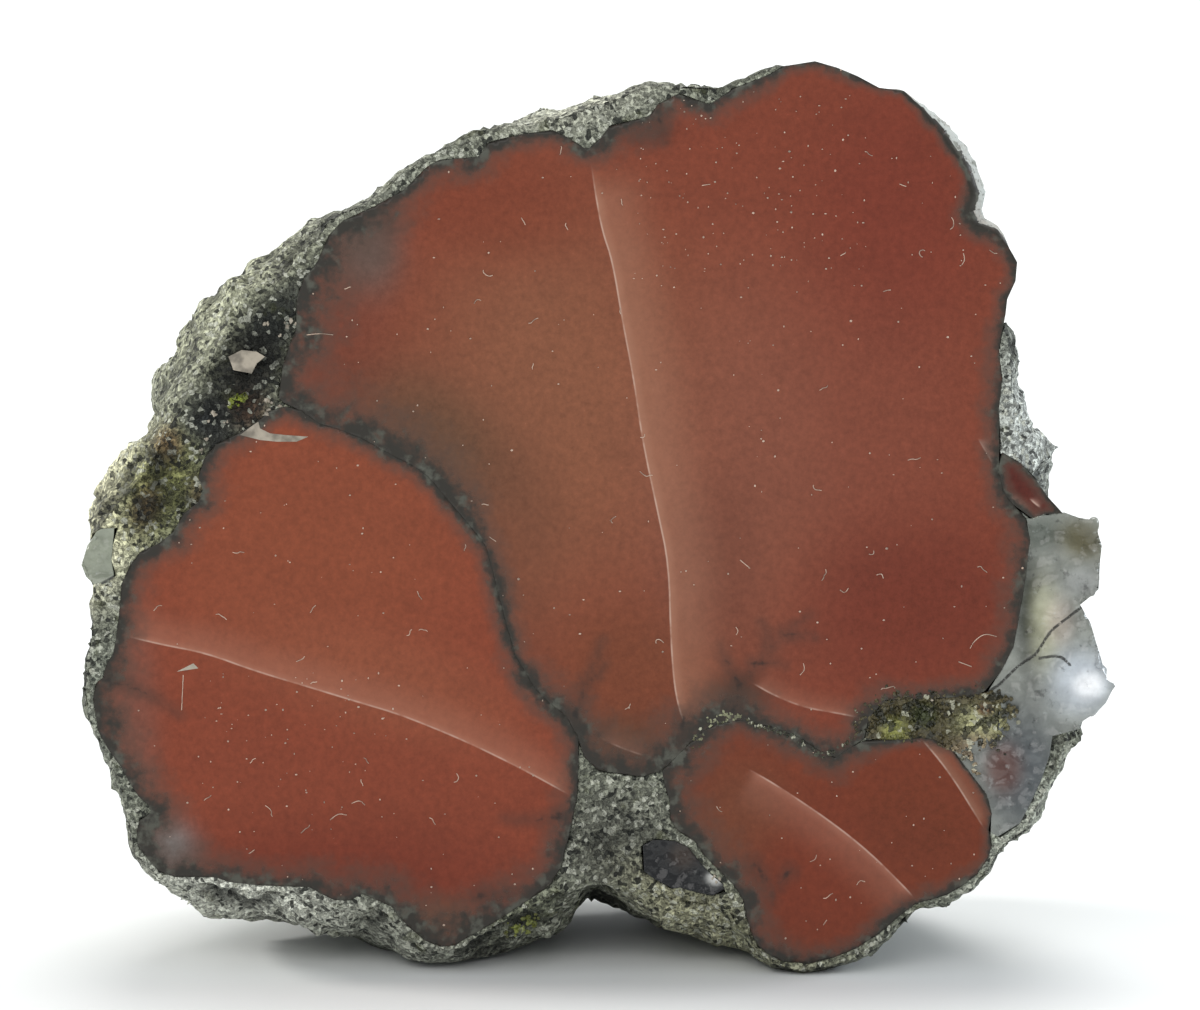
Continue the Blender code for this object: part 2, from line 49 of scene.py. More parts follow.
LEAN = math.radians(10)
FACE_FOOT = Vector((0.19, -16.36, 0.25))
ACROSS = Vector((1, 0, 0))
UP = Vector((0, math.sin(LEAN), math.cos(LEAN)))
BEHIND = Vector((0, math.cos(LEAN), -math.sin(LEAN)))
FLAT = 0.004                    # millimetres off the cut that still count as on it
SQUARES = 0.5                   # side of the squares that a cut is sliced into, before quartering
MINERALS = [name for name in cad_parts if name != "matrix"]


def on_face(across, up, behind=0.0):
    """World position in metres of a place on the face, or behind it."""
    return (FACE_FOOT + ACROSS * across + UP * up + BEHIND * behind) * MM


def face_places(corners):
    """Across, up and behind in millimetres of each of some corners."""
    spots = np.array([tuple(corner.co) for corner in corners]) / MM - np.array(FACE_FOOT)
    return spots @ np.array([ACROSS, UP, BEHIND]).T


def behind_face(position):
    """Millimetres behind the cut of one world position."""
    return (position / MM - FACE_FOOT).dot(BEHIND)


def flat_faces(shape):
    """The faces that lie on the cut."""
    return [
        face for face in shape.faces
        if all(abs(behind_face(corner.co)) < FLAT for corner in face.verts)
    ]


def merged_copy(node):
    """A copy of a CAD node's solid with its corners merged."""
    shape = bmesh.new()
    shape.from_mesh(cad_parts[node].data)
    bmesh.ops.remove_doubles(shape, verts=shape.verts, dist=0.000001)
    return shape


def tree_of(*nodes):
    """One search tree over some CAD nodes."""
    joined = bmesh.new()
    for node in nodes:
        joined.from_mesh(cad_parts[node].data)
    tree = BVHTree.FromBMesh(joined)
    joined.free()
    return tree


def dice(shape, faces, spacing):
    """Slice faces on the cut into small squares, so that they can carry colour and relief."""
    parts = list({corner for face in faces for corner in face.verts})
    places = face_places(parts)
    parts += list({edge for face in faces for edge in face.edges}) + list(faces)
    for column, direction in ((0, ACROSS), (1, UP)):
        first = math.ceil(places[:, column].min() / spacing)
        last = math.floor(places[:, column].max() / spacing)
        for line in range(first, last + 1):
            spot = [0.0, 0.0]
            spot[column] = line * spacing
            made = bmesh.ops.bisect_plane(
                shape, geom=parts, dist=0.0000002, plane_co=on_face(*spot), plane_no=direction
            )
            parts = list(set(made["geom"]))
    return [part for part in parts if isinstance(part, bmesh.types.BMFace)]


def quarter(shape, faces):
    """Split each square into four."""
    edges = list({edge for face in faces for edge in face.edges})
    bmesh.ops.subdivide_edges(shape, edges=edges, cuts=1, use_grid_fill=True)


def refine(shape, faces, longest):
    """Halve the long edges of some faces until none is longer than some millimetres."""
    marked = set(faces)
    for _ in range(8):
        edges = {edge for face in marked for edge in face.edges if edge.calc_length() > longest * MM}
        if not edges:
            break
        made = bmesh.ops.subdivide_edges(shape, edges=list(edges), cuts=1)
        marked = {face for face in marked if face.is_valid}
        marked |= {part for part in made["geom"] if isinstance(part, bmesh.types.BMFace)}
        many = [face for face in marked if len(face.verts) > 3]
        made = bmesh.ops.triangulate(shape, faces=many)
        marked = {face for face in marked if face.is_valid} | set(made["faces"])
    return marked


def soften(shape, corners, factor=0.5, rounds=1):
    """Draw each of some corners towards the middle of its neighbours."""
    for _ in range(rounds):
        bmesh.ops.smooth_vert(
            shape, verts=corners, factor=factor, use_axis_x=True, use_axis_y=True, use_axis_z=True
        )


class Paint:
    """One value or colour inside a material. Arithmetic on it adds Math nodes."""

    def __init__(self, tree, socket):
        self.tree = tree
        self.socket = socket

    def node(self, kind, settings=None, inputs=None, out=0):
        """Any node: its type, its settings, the values or links of its sockets, and the output."""
        made = self.tree.nodes.new(kind)
        for name, value in (settings or {}).items():
            setattr(made, name, value)
        for name, value in (inputs or {}).items():
            socket = made.inputs[name]
            if isinstance(value, Paint):
                self.tree.links.new(value.socket, socket)
            elif socket.type == "RGBA":
                socket.default_value = (*value, 1)
            else:
                socket.default_value = value
        return Paint(self.tree, made.outputs[out])

    def math(self, operation, first, second):
        return self.node("ShaderNodeMath", {"operation": operation}, {0: first, 1: second})

    def __add__(self, other):
        return self.math("ADD", self, other)

    def __sub__(self, other):
        return self.math("SUBTRACT", self, other)

    def __rsub__(self, other):
        return self.math("SUBTRACT", other, self)

    def __mul__(self, other):
        return self.math("MULTIPLY", self, other)

    __radd__ = __add__
    __rmul__ = __mul__

    def rise(self, low, high):
        """0 below low, 1 above high, and a soft step between them."""
        return self.node(
            "ShaderNodeMapRange", {"interpolation_type": "SMOOTHSTEP"},
            {"Value": self, "From Min": low, "From Max": high},
        )

    def tint(self, mask, colour):
        """This colour, turned into another one where the mask is 1."""
        return self.node("ShaderNodeMix", {"data_type": "RGBA"}, {0: mask, 6: self, 7: colour}, 2)

    def shade(self, value):
        """This colour, darker or lighter by a value."""
        grey = self.node("ShaderNodeCombineColor", None, {0: value, 1: value, 2: value})
        return self.node(
            "ShaderNodeMix", {"data_type": "RGBA", "blend_type": "MULTIPLY"}, {0: 1.0, 6: self, 7: grey}, 2
        )

    def cloud(self, size, detail=3.0, rough=0.55):
        """Soft noise around 0.5 with lumps of about this many millimetres."""
        inputs = {"Vector": self, "Scale": 1 / size, "Detail": detail, "Roughness": rough}
        return self.node("ShaderNodeTexNoise", None, inputs)

    def cells(self, size, out="Distance"):
        """Grains of about this many millimetres: the distance to a middle, or a colour each."""
        return self.node("ShaderNodeTexVoronoi", None, {"Vector": self, "Scale": 1 / size}, out)

    def chance(self, size):
        """A different value from 0 to 1 for each grain of about this many millimetres."""
        return self.node("ShaderNodeSeparateColor", None, {0: self.cells(size, "Color")})

    def carried(self, name, out="Fac"):
        """A value or colour that the mesh carries at its corners."""
        return self.node("ShaderNodeAttribute", {"attribute_name": name}, None, out)

    def relief(self, depth):
        """A bumped normal from this height, whose full range is a depth in millimetres."""
        return self.node("ShaderNodeBump", None, {"Height": self, "Distance": depth * MM}, "Normal")


def tone(red, green, blue):
    """A colour as it looks, 0 to 255, in the linear values that a shader takes."""
    return tuple(
        value / 255 / 12.92 if value <= 10 else ((value / 255 + 0.055) / 1.055) ** 2.4
        for value in (red, green, blue)
    )


def begin_finish(name):
    """A new material: itself, its shader, and the place in millimetres."""
    material = bpy.data.materials.new(name)
    material.use_nodes = True
    tree = material.node_tree
    place = Paint(tree, tree.nodes.new("ShaderNodeTexCoord").outputs["Object"])
    place = place.node("ShaderNodeVectorMath", {"operation": "SCALE"}, {0: place, "Scale": 1 / MM})
    return material, tree.nodes["Principled BSDF"], place


def feed(shader, values):
    """Link or set a shader's sockets."""
    for name, value in values.items():
        if isinstance(value, Paint):
            value.tree.links.new(value.socket, shader.inputs[name])
        else:
            shader.inputs[name].default_value = value


def finished(shape, name, material, slot, *nodes, smooth=35):
    """The finished piece, riding with the stone, in place of CAD nodes."""
    many = [face for face in shape.faces if len(face.verts) > 3]
    bmesh.ops.triangulate(shape, faces=many)
    mesh = bpy.data.meshes.new(name)
    shape.to_mesh(mesh)
    shape.free()
    mesh.materials.append(material)
    mesh.shade_smooth()
    mesh.set_sharp_from_angle(angle=math.radians(smooth))
    piece = bpy.data.objects.new(name, mesh)
    bpy.context.scene.collection.objects.link(piece)
    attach(piece, "root")
    if nodes:
        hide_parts(*nodes)
    return piece


def carry(piece, name, values):
    """Let a mesh carry one value, or one colour, at each corner."""
    values = np.asarray(values, np.float32)
    if values.ndim == 1:
        piece.data.attributes.new(name, "FLOAT", "POINT").data.foreach_set("value", values)
    else:
        rows = np.ones((len(values), 4), np.float32)
        rows[:, :3] = values
        layer = piece.data.attributes.new(name, "FLOAT_COLOR", "POINT")
        layer.data.foreach_set("color", rows.ravel())


def patch(places, middle, radii, turn=0.0):
    """1 at the middle of an oval patch, falling softly to 0 outside it."""
    off = places[:, :2] - np.array(middle)
    turn = math.radians(turn)
    along = off[:, 0] * math.cos(turn) + off[:, 1] * math.sin(turn)
    beside = off[:, 1] * math.cos(turn) - off[:, 0] * math.sin(turn)
    reach = (along / radii[0]) ** 2 + (beside / radii[1]) ** 2
    return np.exp(-reach ** 1.5)


def painted(places, ground, patches):
    """A colour for each place: the ground, and oval patches laid over it in turn."""
    colours = np.tile(tone(*ground), (len(places), 1))
    for middle, radii, turn, colour, strength in patches:
        share = strength * patch(places, middle, radii, turn)[:, None]
        colours += share * (np.array(tone(*colour)) - colours)
    return colours


# The rock's patch colours are partly its own colour and partly painted light: the places that the left and
# right lamps light are painted paler, and the feet and the top rim are painted lighter against the shade
# they lie in.
ROCK_GROUND = (124, 127, 113)
ROCK_PATCHES = (
    # painted light: the upper left, paler where the left lamp falls
    ((-24, 42), (8, 9), 45, (172, 174, 149), 1.0),
    ((-14, 49), (7, 3), 35, (158, 160, 146), 0.8),
    # painted light: the pale yellowish left flank, lit by the left lamp
    ((-31.0, 27.5), (3.8, 6), -20, (255, 252, 216), 1.0),
    ((-26.5, 29), (2.4, 3.8), -30, (146, 148, 86), 0.9),
    ((-26.0, 31.6), (1.0, 1.2), -20, (128, 98, 66), 0.8),
    ((-27.3, 27.9), (0.9, 1.4), -20, (122, 92, 64), 0.8),
    ((-24.0, 28.7), (0.9, 1.2), 0, (92, 70, 50), 0.7),
    ((-20.8, 36.8), (2.0, 5.5), -32, (50, 52, 46), 1.0),
    ((-19.6, 39.0), (1.4, 2.4), -35, (46, 49, 46), 1.0),
    ((-21.0, 36.0), (1.7, 2.2), -20, (48, 46, 40), 1.0),
    ((-21.2, 33.6), (1.4, 1.2), 0, (78, 54, 40), 0.9),
    ((-23.6, 33.2), (1.8, 1.5), 20, (44, 47, 47), 1.0),
    ((-22.9, 31.5), (1.0, 1.4), 0, (48, 49, 47), 0.9),
    ((-17.4, 41.4), (2.4, 1.0), 45, (70, 72, 66), 0.8),
    ((-30.5, 13), (2.5, 9), 0, (134, 138, 126), 0.8),
    ((-6, 2.4), (4, 2), 20, (98, 104, 66), 0.7),
    # painted light: the middle foot, the right foot, the lower left rim and the top rim, lighter against
    # their shade
    ((1.0, 8), (3.2, 3.5), 0, (120, 121, 110), 0.8),
    ((6, 3), (5, 2), -35, (180, 178, 144), 0.9),
    ((-21, 4.2), (7, 2.4), -14, (206, 208, 196), 1.0),
    ((-1, 52.5), (6, 2), 20, (186, 187, 170), 0.9),
    # painted light: the pale bluish right flank, lit by the cool right lamp
    ((27, 35), (3, 8), -15, (204, 209, 205), 0.9),
    ((25, 9), (6, 5), 0, (166, 171, 158), 0.9),
    # painted light: the foot, lighter against its shade
    ((-14, 0.8), (16, 2.6), 4, (158, 160, 148), 0.8),
    ((10, 1), (6, 3), -20, (150, 150, 126), 0.7),
)
ROCK_HOLLOWS = (                # crumbled parts of the cut: middle, radii, turn, depth
    ((-26.5, 29), (2.4, 3.2), -30, 0.7),
    ((-21.2, 36.3), (2.2, 4.6), -30, 0.6),
    ((0.6, 7.6), (3.0, 3.2), 0, 0.5),
    ((6.5, 3.2), (4.5, 1.6), -35, 0.4),
    ((27.5, 16), (1.6, 5), 0, 0.4),
)
ROCK_NEAR = 9.0                 # millimetres behind the face with the finer mesh
ROCK_FINE = 0.40                # longest edge in the finer mesh
ROCK_COARSE = 0.74              # and in the other one
ROCK_BED = 0.45                 # rock this close to a mineral is its bed, and stays as it is
ROCK_SPARE = 0.22               # rock that always stays between a pit and a mineral
ROCK_FOOT = 1.2                 # height over which the relief fades out towards the flat foot
CRAGS, LUMPS, GRAINS = (5.0, 0.75), (1.6, 0.7), (0.7, 0.32)     # their size, and their relief
LUMP_LEVEL = 0.42               # distance from a lump's middle at which it meets its neighbours
CRUMBLE, CRUMBLE_LUMPS = (1.2, 0.5), (0.8, 0.8)                 # the same in the crumbled parts

rock = merged_copy("matrix")
rock_cut = flat_faces(rock)
rock_foot = {face for face in rock.faces if all(corner.co.z < 0.000002 for corner in face.verts)}
minerals_tree = tree_of(*MINERALS)
rock_outside = set()
for face in set(rock.faces) - set(rock_cut) - rock_foot:
    if minerals_tree.find_nearest(face.calc_center_median(), ROCK_BED * MM)[0] is None:
        rock_outside.add(face)
rock_cut = dice(rock, rock_cut, SQUARES)
quarter(rock, rock_cut)
rock_outside = {face for face in rock_outside if face.is_valid}
rock_near = {
    face for face in rock_outside
    if min(behind_face(corner.co) for corner in face.verts) < ROCK_NEAR
}
rock_near = refine(rock, rock_near, ROCK_FINE)
rock_outside = {face for face in rock_outside if face.is_valid}
rock_outside = refine(rock, rock_outside - rock_near, ROCK_COARSE) | rock_near
rock.normal_update()
loose = {corner for face in rock_outside for corner in face.verts}
held = {corner for face in rock.faces if face not in rock_outside for corner in face.verts}
free = list(loose - held)
soften(rock, free)
rock.normal_update()
rock.verts.index_update()
heights = np.zeros(len(rock.verts))
for corner in loose:
    spot = corner.co / MM
    room = minerals_tree.find_nearest(corner.co)[3] / MM
    height = CRAGS[1] * noise.fractal(spot / CRAGS[0], 0.8, 2.1, 4)
    for size, relief in (LUMPS, GRAINS):
        height += relief * (LUMP_LEVEL - noise.voronoi(spot / size)[0][0])
    heights[corner.index] = height
    push = max(height, ROCK_SPARE - room) * min(1.0, spot.z / ROCK_FOOT)
    move = corner.normal * push * MM
    if corner in held:
        move -= BEHIND * move.dot(BEHIND)
        move *= 0.5
    corner.co += move
    corner.co.z = max(corner.co.z, 0.00001)
soften(rock, free, 0.35)
rock_cut = flat_faces(rock)
cut_corners = list({corner for face in rock_cut for corner in face.verts})
cut_places = face_places(cut_corners)
hollow = np.zeros(len(cut_corners))
for middle, radii, turn, depth in ROCK_HOLLOWS:
    hollow = np.maximum(hollow, depth * patch(cut_places, middle, radii, turn))
for corner, depth in zip(cut_corners, hollow):
    spot = corner.co / MM
    wave = 0.6 + CRUMBLE[1] * noise.fractal(spot / CRUMBLE[0], 0.8, 2.0, 3)
    wave += CRUMBLE_LUMPS[1] * noise.voronoi(spot / CRUMBLE_LUMPS[0])[0][0]
    corner.co += BEHIND * max(0.0, depth * wave) * MM
    heights[corner.index] = 0.15 - 0.9 * depth * wave

rock_finish, rock_shader, place = begin_finish("basalt")
grain = place.chance(0.16)
flake = place.chance(0.27)
depth = place.carried("height")
colour = place.carried("tint", "Color")
speck = place.cloud(0.3, 2.5).rise(0.40, 0.60)
colour = colour.shade(0.06 + 0.95 * grain + 0.75 * speck + 0.3 * place.cloud(2.2))
colour = colour.tint(flake.rise(0.85, 0.89) * 0.6, tone(222, 224, 208))
colour = colour.tint((1 - flake.rise(0.10, 0.16)) * 0.85, tone(30, 33, 30))
colour = colour.tint(place.cloud(1.4, 4).rise(0.56, 0.68) * 0.3, tone(96, 100, 52))
# Painted shade: darker where the relief is low, in the pits between the lumps and in the crumbled hollows
# of the cut.
colour = colour.tint((1 - depth.rise(-0.6, 0.1)) * 0.8, tone(26, 28, 25))
bumps = 0.35 * grain + 0.9 * speck + 0.5 * place.cloud(0.25, 3)
feed(rock_shader, {"Base Color": colour, "Roughness": 0.55 + 0.35 * grain, "Normal": bumps.relief(0.22)})
rock_shader.inputs["Specular IOR Level"].default_value = 0.35

rock_places = face_places(rock.verts)
rock_piece = finished(rock, "basalt_matrix", rock_finish, "basalt", "matrix", smooth=60)
carry(rock_piece, "tint", painted(rock_places, ROCK_GROUND, ROCK_PATCHES))
carry(rock_piece, "height", heights)


# The datolite nodules
# Three and a sliver of red-brown datolite that grew in hollows of the rock, sawn through and polished:
# dark fringes, fractures painted bright on one side with reflected light, and a pale skin that is bare on
# the largest one at the upper right.
SKIN_MIDDLE = (23.0, 49.5)      # where the skin stands out past the edge of the cut
SKIN_RADII = (5.0, 6.0)
SKIN_SWELL = 1.0
SKIN_COARSE = 1.2               # longest edge in the mesh of the skin
GLARE = 0.018                   # what the gloss adds to each colour in linear light
DARKEST = 0.008                 # and what is left of a dark colour at least


def close_gaps(shape, node, reach=0.6):
    """Move the corners of a mineral that are close to its neighbours onto them."""
    to_rock = tree_of("matrix")
    to_others = tree_of(*(name for name in MINERALS if name != node))
    for corner in shape.verts:
        spot, _, _, gap = to_rock.find_nearest(corner.co)
        other, _, _, other_gap = to_others.find_nearest(corner.co)
        move = Vector((0, 0, 0))
        if gap < reach * MM:
            move = spot - corner.co
        if other_gap < min(gap, reach * MM):
            move = (other - corner.co) * 0.55
        if abs(behind_face(corner.co)) < FLAT:
            move -= BEHIND * move.dot(BEHIND)
        corner.co += move


def outline_of(shape):
    """The border of a mineral on the cut, as pairs of places."""
    cut = set(flat_faces(shape))
    border = []
    for edge in shape.edges:
        if len([face for face in edge.link_faces if face in cut]) == 1:
            border.append(face_places(edge.verts)[:, :2])
    return border


def rounded(line):
    """A drawn line with its corners cut off twice, so that it bends softly."""
    for _ in range(2):
        bends = [Vector(line[0])]
        for start, end in zip(line[:-1], line[1:]):
            start, end = Vector(start), Vector(end)
            bends += [start.lerp(end, 0.25), start.lerp(end, 0.75)]
        line = [*bends, Vector(line[-1])]
    return line


def to_line(places, line):
    """Distance of each place to a drawn line, its side, and how far along it is, with its length."""
    nearest = np.full(len(places), np.inf)
    side = np.zeros(len(places))
    along = np.zeros(len(places))
    walked = 0.0
    for start, end in zip(line[:-1], line[1:]):
        start, span = np.array(start), np.array(end) - np.array(start)
        length = float(np.hypot(*span))
        off = places[:, :2] - start
        share = np.clip(off @ span / length ** 2, 0, 1)
        distance = np.hypot(*(off - share[:, None] * span).T)
        closer = distance < nearest
        nearest[closer] = distance[closer]
        side[closer] = np.sign(span[0] * off[:, 1] - span[1] * off[:, 0])[closer]
        along[closer] = (walked + share * length)[closer]
        walked += length
    return nearest, side, along, walked


def step(values, low, high):
    """0 below low, 1 above high, and a soft step between them."""
    share = np.clip((values - low) / (high - low), 0, 1)
    return share * share * (3 - 2 * share)


def fringe_width(places, widths):
    """Width of the fringe at each place, blended from the widths given around the border."""
    spots = np.array(widths)
    distance = np.hypot(places[:, None, 0] - spots[None, :, 0], places[:, None, 1] - spots[None, :, 1])
    weight = 1 / (distance + 0.2) ** 3
    return (weight * spots[None, :, 2]).sum(axis=1) / weight.sum(axis=1)


NODULES = {
    "datolite_upper": dict(
        proud=0.010,
        ground=(127, 68, 53),
        patches=(
            ((-3, 34), (9, 13), 0, (138, 92, 70), 0.8),
            ((8, 30), (6, 12), 0, (140, 92, 74), 0.6),
            ((14, 33), (9, 11), 0, (132, 80, 66), 0.5),
            ((18, 46), (6, 8), 0, (118, 58, 48), 0.6),
            ((19, 22), (7, 5), 0, (110, 56, 46), 0.7),
            ((-10, 32), (6, 3.5), -40, (100, 76, 60), 0.8),
            ((-5, 26), (3, 7), 0, (112, 74, 58), 0.5),
            ((-14, 43.5), (2.2, 3.2), 0, (98, 88, 82), 0.85),
            ((-16, 38), (3, 4), 0, (112, 66, 54), 0.6),
            ((2, 18), (5, 4), 0, (118, 72, 52), 0.6),
            ((1, 13.5), (3.5, 2), 0, (84, 66, 52), 0.7),
            ((8, 16.5), (2.2, 1.4), 0, (62, 50, 42), 0.8),
            ((2.5, 50.5), (2, 1), 0, (70, 46, 40), 0.6),
            ((-6, 46), (6, 3.5), 0, (124, 64, 48), 0.6),
            ((7, 24), (3, 6), 0, (112, 70, 58), 0.5),
        ),
        fringe=(
            (-17, 40, 3), (-15, 44, 2.5), (-10, 48, 1.2), (-3, 50, 0.9), (2, 50.5, 1.4), (7, 52, 1),
            (13, 54.5, 0.6), (18, 52.5, 0.4), (22, 48, 0.4), (22.5, 45.5, 0.9), (25, 42, 0.7),
            (24, 36, 1), (24, 31, 1), (25.5, 25, 1.3), (25, 20, 1.3), (23, 17, 1), (19.5, 16.5, 0.8),
            (15, 14, 1.2), (11, 14.5, 1.3), (7, 15, 2.2), (4, 12.8, 2.6), (0, 12.5, 2.5),
            (-2, 16, 1.6), (-5, 20, 0.8), (-7, 25, 0.9), (-9, 29, 2.2), (-13, 31.5, 2.6),
            (-17, 33.5, 2.4), (-19, 36, 2),
        ),
        cracks=(
            dict(
                line=(
                    (-0.6, 48.7), (-0.3, 46.6), (0.1, 44.4), (0.7, 42.7), (1.3, 39.1), (2.0, 35.5),
                    (2.5, 31.9), (3.4, 27.7), (4.1, 24.4), (4.2, 19.9), (4.5, 16.3), (5.3, 14.2),
                ),
                side=1, near=0.7, far=4.2, ends=(3.0, 1.5), colour=(172, 122, 98), strength=0.9,
            ),
            dict(
                line=((9.1, 17.3), (10.5, 16.5), (12.3, 15.8), (14.1, 15.5), (15.6, 15.2)),
                side=1, near=0.5, far=1.5, ends=(0.8, 0.8), colour=(158, 104, 84), strength=0.8,
            ),
            dict(
                line=((0, 14.0), (1.2, 13.4), (2.7, 12.9)),
                side=1, near=0.6, far=1.7, ends=(0.6, 0.5), colour=(150, 100, 80), strength=0.7,
            ),
            dict(
                line=((22.7, 31.9), (23.1, 31.2), (23.6, 30.4), (23.9, 29.8)),
                side=1, near=0.5, far=1.0, ends=(0.4, 0.4), colour=(176, 140, 126), strength=0.8,
            ),
        ),
        veins=(
            ((8, 15.6), (8.4, 17.2), (9.3, 18.4), (10.2, 19.3), (11.1, 20.2), (12, 21), (12.7, 21.4)),
            ((8.4, 17.2), (7.6, 18.6), (7.2, 19.6)),
            ((9.3, 18.4), (10.4, 18.6), (11.0, 18.4)),
            ((10.2, 19.3), (10.0, 20.4), (9.7, 21.0)),
            ((11.1, 20.2), (12.3, 20.2), (12.9, 20.0)),
            ((-1.5, 15.4), (-0.9, 17.2), (-0.5, 18.1), (0.2, 19.9)),
            ((-0.9, 17.2), (-0.1, 17.8), (0.3, 18.5)),
            ((3.6, 51.2), (3.9, 49.6)),
            ((-12.9, 46), (-12.5, 44.5)),
            ((5, 15.2), (4.8, 13.4), (5.6, 12.6)),
        ),
    ),
    "datolite_lower_left": dict(
        proud=0.014,
        ground=(134, 71, 54),
        patches=(
            ((-17, 26), (10, 8), 0, (139, 79, 58), 0.7),
            ((-13, 17.5), (9, 3), -18, (144, 85, 64), 0.7),
            ((-16, 5), (12, 4), 0, (116, 58, 46), 0.8),
            ((-16, 2.2), (12, 1.5), 0, (115, 78, 62), 0.5),
            ((-28, 14), (1.6, 8), 0, (124, 89, 79), 0.5),
            ((-9.6, 3), (2.4, 1.4), 0, (112, 80, 62), 0.7),
            ((-26, 7.4), (1.9, 1.8), 0, (118, 122, 120), 0.8),
        ),
        fringe=(
            (-17, 33, 0.7), (-10, 29, 0.8), (-6, 22, 0.8), (-2, 14, 1), (-2, 10, 1.2), (-3, 6, 1.5),
            (-8, 2.5, 2.5), (-14, 5, 1.7), (-20, 5.4, 1.2), (-25, 6, 1.6), (-27.5, 8, 2.4),
            (-28, 12, 1.6), (-30, 16, 2.2), (-29, 20, 1.3), (-28, 25, 1.3), (-24, 29, 1.3),
            (-21, 32.5, 1),
        ),
        cracks=(
            dict(
                line=(
                    (-28.8, 20.2), (-26.4, 19.6), (-23.7, 19.1), (-20.7, 18.0), (-18, 17.2),
                    (-14.4, 16.1), (-12, 15.4), (-8.3, 13.9), (-4.8, 12.2), (-1.7, 10.5),
                ),
                side=1, near=0.5, far=2.6, ends=(1.5, 1.0), colour=(172, 116, 94), strength=0.85,
            ),
        ),
        veins=(
            ((-2.4, 9.4), (-4.2, 9.0), (-5.8, 9.2)),
            ((-7.2, 4.6), (-5.6, 4.5), (-4.2, 4.9)),
            ((-29.7, 17.5), (-28, 17.1), (-26.4, 16.3), (-25.2, 15.4)),
        ),
    ),
    "datolite_lower_right": dict(
        proud=0.018,
        ground=(120, 63, 47),
        patches=(
            ((8.5, 9.5), (3.2, 3.6), 0, (115, 72, 55), 0.8),
            ((13, 5.5), (4, 4), -40, (123, 62, 47), 0.7),
            ((19, 9), (4, 4), 0, (112, 61, 46), 0.8),
            ((13.7, 13), (1.0, 0.8), 0, (62, 52, 44), 0.8),
        ),
        fringe=(
            (5, 13.5, 2), (9, 15, 1), (14, 13, 1.2), (19.4, 14, 0.5), (21.6, 11.9, 0.25), (23, 9, 0.4),
            (21, 5, 0.8),
            (15, 1.5, 0.8), (10.5, 1, 1.2), (9, 4, 1.4), (7, 6.5, 1.8), (4.5, 9, 1.8),
        ),
        cracks=(
            dict(
                line=((8.9, 12.2), (10.5, 11.3), (13.8, 9.1), (16.2, 7.2), (18.5, 4.9), (18.9, 4.4)),
                side=-1, near=0.6, far=3.0, ends=(0.8, 0.8), colour=(168, 112, 92), strength=0.85,
            ),
            dict(
                line=((19.3, 13.9), (20.4, 12.6), (21.4, 11.2), (22.5, 9.4), (23.0, 8.6)),
                side=1, near=0.6, far=2.0, ends=(0.4, 0.8), colour=(150, 108, 88), strength=0.8,
            ),
        ),
        veins=(
            ((9.3, 6.4), (10.2, 5.2), (10.4, 4.0)),
            ((11.3, 6.0), (10.5, 4.8)),
        ),
    ),
    "datolite_sliver": dict(
        proud=0.022,
        ground=(92, 50, 44),
        patches=(((25.2, 27.6), (1.0, 0.8), 0, (120, 78, 68), 0.6),),
        fringe=((25, 28, 0.5), (27, 26, 0.5)),
        cracks=(
            dict(
                line=((24.6, 28.5), (25.5, 27.6)),
                side=1, near=0.25, far=0.5, ends=(0.2, 0.2), colour=(190, 150, 136), strength=0.8,
            ),
            dict(
                line=((25.8, 28.3), (26.4, 27.8)),
                side=1, near=0.25, far=0.5, ends=(0.2, 0.2), colour=(190, 150, 136), strength=0.8,
            ),
        ),
        veins=(),
    ),
}


